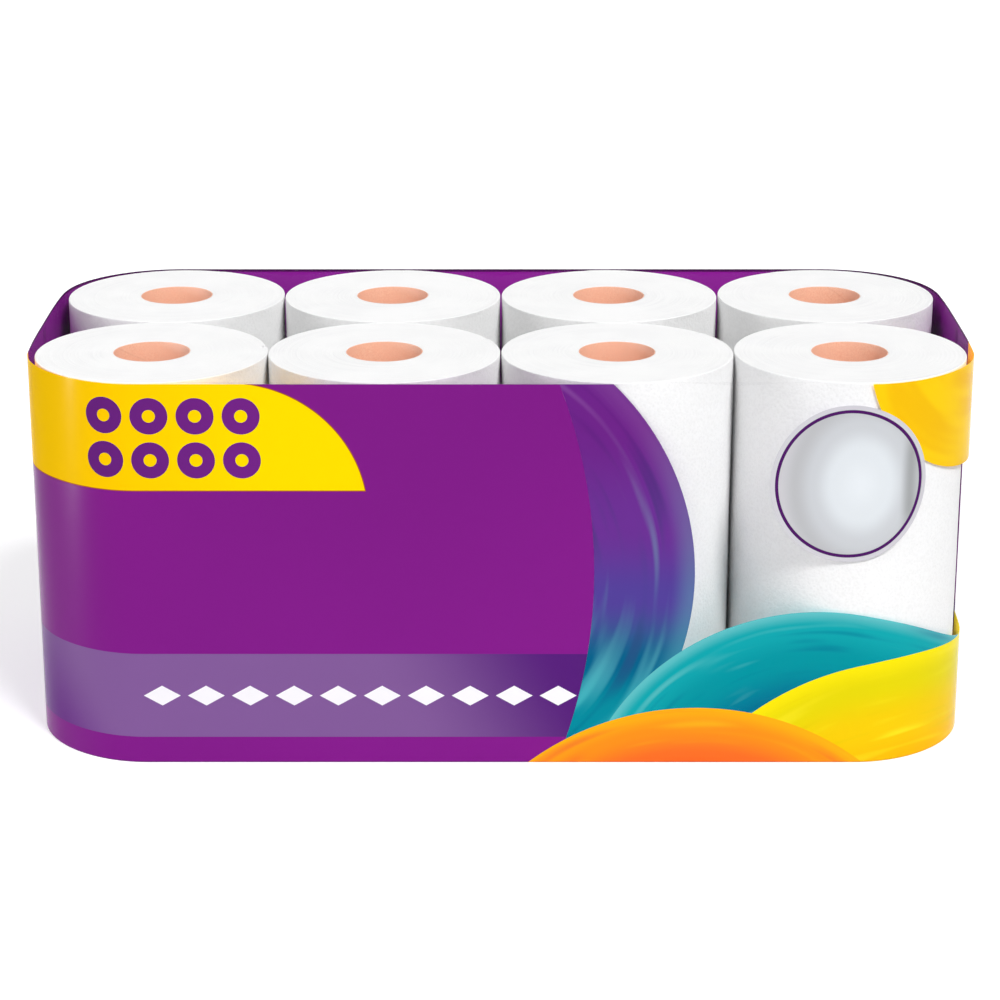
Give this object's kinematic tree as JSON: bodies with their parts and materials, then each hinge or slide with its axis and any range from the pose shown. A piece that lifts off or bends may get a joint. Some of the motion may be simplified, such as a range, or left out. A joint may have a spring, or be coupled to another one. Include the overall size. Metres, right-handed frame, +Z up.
{
  "type": "pack of paper towel rolls",
  "caption": "Pack of upright paper towel rolls on open paperboard cores, held by a clear film wrap with a purple, yellow, teal and orange print.",
  "frame": {"origin": "middle of the pack's underside", "axes": "+Z up along the rolls, +X along the pack's length, -Y towards the printed front"},
  "size_m": [0.6692, 0.3312, 0.2804],
  "materials": {
    "paper": "matte, pebbled cloth-like paper",
    "paperboard": "matte tan paperboard",
    "clear_film": "clear glossy film",
    "ink_purple": "satin printed film",
    "ink_belt": "satin printed film, mauve to violet",
    "ink_yellow": "satin printed film",
    "ink_white": "satin printed film",
    "ink_violet": "satin printed film, violet to blue",
    "ink_teal": "satin printed film",
    "ink_lime": "satin printed film, lime to amber",
    "ink_orange": "satin printed film, orange to amber",
    "ink_silver": "satin printed film, silver white"
  },
  "bodies": {
    "root": {"film_wrap": "clear_film", "end_seals": "ink_purple", "print_roll_marks": "ink_purple", "print_flag": "ink_yellow", "print_badge_ring": "ink_purple", "print_badge": "ink_silver", "print_corner": "ink_yellow", "print_hill_orange": "ink_orange", "print_hill_yellow": "ink_lime", "print_hill_teal": "ink_teal", "print_crescent": "ink_violet", "print_lozenges": "ink_white", "print_belt": "ink_belt", "print_field": "ink_purple", "towel_roll_1_1": "paper", "towel_roll_1_2": "paper", "towel_roll_1_3": "paper", "towel_roll_1_4": "paper", "towel_roll_2_1": "paper", "towel_roll_2_2": "paper", "towel_roll_2_3": "paper", "towel_roll_2_4": "paper", "core_tube_1_1": "paperboard", "core_tube_1_2": "paperboard", "core_tube_1_3": "paperboard", "core_tube_1_4": "paperboard", "core_tube_2_1": "paperboard", "core_tube_2_2": "paperboard", "core_tube_2_3": "paperboard", "core_tube_2_4": "paperboard"}
  },
  "joints": []
}
